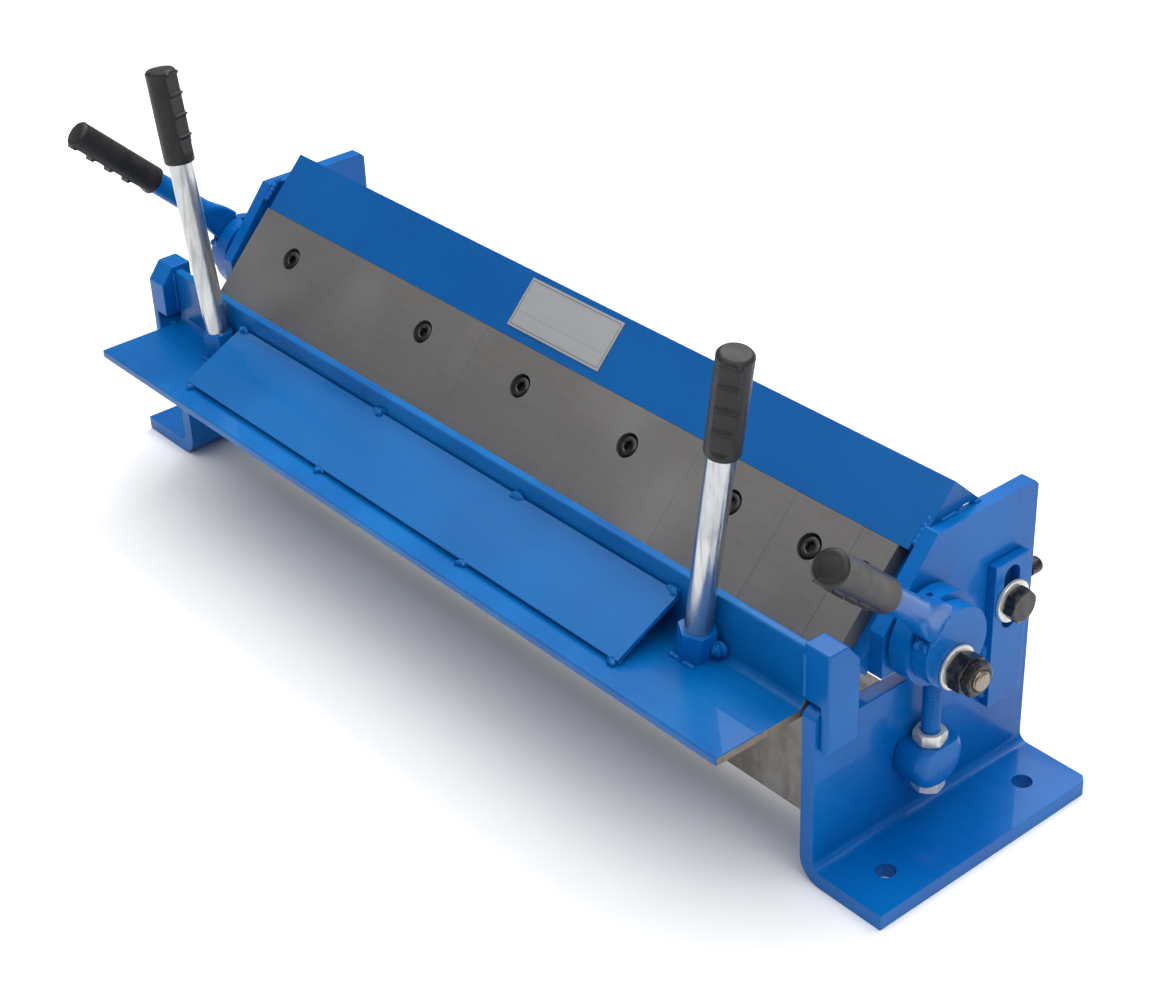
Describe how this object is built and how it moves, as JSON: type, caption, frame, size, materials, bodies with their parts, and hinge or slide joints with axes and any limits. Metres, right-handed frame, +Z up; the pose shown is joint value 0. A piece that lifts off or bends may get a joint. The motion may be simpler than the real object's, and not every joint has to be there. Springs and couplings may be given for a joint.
{
  "type": "bench sheet metal brake",
  "caption": "Bench-top sheet metal bending brake: slotted clamping beam with split bevelled fingers, eccentric clamp handles, hinged bending leaf and outward feet.",
  "frame": {"origin": "middle of the four foot holes, on the bench top", "axes": "+X along the bending line towards the right end, +Y from the bending leaf to the rear, +Z up"},
  "size_m": [0.751, 0.244, 0.317],
  "materials": {
    "blue_enamel": "gloss brushed-on enamel over mill-scaled plate",
    "ground_steel": "surface ground",
    "raw_steel": "unpainted, oiled and stained",
    "zinc_plate": "bright zinc plate",
    "black_oxide": "black oxide, oiled",
    "grip_plastic": "semi-matt moulded vinyl",
    "label_foil": "satin foil, unmarked"
  },
  "bodies": {
    "base": {"base_end_plate_right": "blue_enamel", "base_end_plate_left": "blue_enamel", "bed": "raw_steel", "guide_bar_right": "blue_enamel", "guide_bar_left": "blue_enamel"},
    "leaf": {"leaf_angle": "blue_enamel", "leaf_stiffener": "blue_enamel", "leaf_pivot_block_right": "blue_enamel", "leaf_pivot_block_left": "blue_enamel", "leaf_pivot_pins": "ground_steel", "leaf_handle_sockets": "blue_enamel", "leaf_handle_tubes": "zinc_plate", "leaf_grips": "grip_plastic"},
    "clamp_beam": {"clamp_end_plate_right": "blue_enamel", "clamp_end_plate_left": "blue_enamel", "clamp_backing_plate": "blue_enamel", "clamp_panel": "blue_enamel", "label_plate": "label_foil", "finger_254": "ground_steel", "finger_203": "ground_steel", "finger_76": "ground_steel", "finger_51": "ground_steel", "finger_25": "ground_steel", "finger_screws": "black_oxide", "cam_studs": "black_oxide", "cam_spacer_washers": "zinc_plate", "cam_washers": "zinc_plate", "cam_nuts": "black_oxide", "slot_bolts": "black_oxide", "slot_washers": "zinc_plate"},
    "cam_right": {"cam_hub_right": "blue_enamel", "cam_handle_tube_right": "blue_enamel", "cam_grip_right": "grip_plastic"},
    "cam_left": {"cam_hub_left": "blue_enamel", "cam_handle_tube_left": "blue_enamel", "cam_grip_left": "grip_plastic"},
    "link_right": {"eye_rod_right": "blue_enamel", "rod_nuts_right": "zinc_plate", "trunnion_right": "blue_enamel"},
    "link_left": {"eye_rod_left": "blue_enamel", "rod_nuts_left": "zinc_plate", "trunnion_left": "blue_enamel"},
    "setback_right": {"setback_screw_right": "black_oxide"},
    "setback_left": {"setback_screw_left": "black_oxide"}
  },
  "joints": [
    {"name": "leaf_swing", "type": "hinge", "parent": "base", "child": "leaf", "pos_m": [0, -0.0765, 0.1038], "axis": [1, 0, 0], "range_deg": [0, 90]},
    {"name": "cam_right_turn", "type": "hinge", "parent": "clamp_beam", "child": "cam_right", "pos_m": [0.344, -0.006, 0.122], "axis": [-1, 0, 0], "range_deg": [0, 70]},
    {"name": "cam_left_turn", "type": "hinge", "parent": "clamp_beam", "child": "cam_left", "pos_m": [-0.344, -0.006, 0.122], "axis": [-1, 0, 0], "range_deg": [0, 70.1]},
    {"name": "clamp_lift", "type": "hinge", "parent": "base", "child": "clamp_beam", "pos_m": [0, 0.0615, 0.124], "axis": [-1, 0, 0], "range_deg": [0, 6.05]},
    {"name": "link_right_lean", "type": "hinge", "parent": "base", "child": "link_right", "pos_m": [0.3345, -0.006, 0.054], "axis": [-1, 0, 0], "range_deg": [0, 9.55]},
    {"name": "link_left_lean", "type": "hinge", "parent": "base", "child": "link_left", "pos_m": [-0.3345, -0.006, 0.054], "axis": [-1, 0, 0], "range_deg": [0, 9.55]},
    {"name": "setback_right_turn", "type": "slide", "parent": "clamp_beam", "child": "setback_right", "axis": [0, 1, 0], "range_m": [-0.0008, 0.008]},
    {"name": "setback_left_turn", "type": "slide", "parent": "clamp_beam", "child": "setback_left", "axis": [0, 1, 0], "range_m": [-0.0008, 0.008]}
  ],
  "couplings": [
    {"joint": "cam_left_turn", "follows": "cam_right_turn", "ratio": 1},
    {"joint": "clamp_lift", "follows": "cam_right_turn", "ratio": 0.0861},
    {"joint": "link_right_lean", "follows": "cam_right_turn", "ratio": 0.1358},
    {"joint": "link_left_lean", "follows": "cam_right_turn", "ratio": 0.1358}
  ]
}
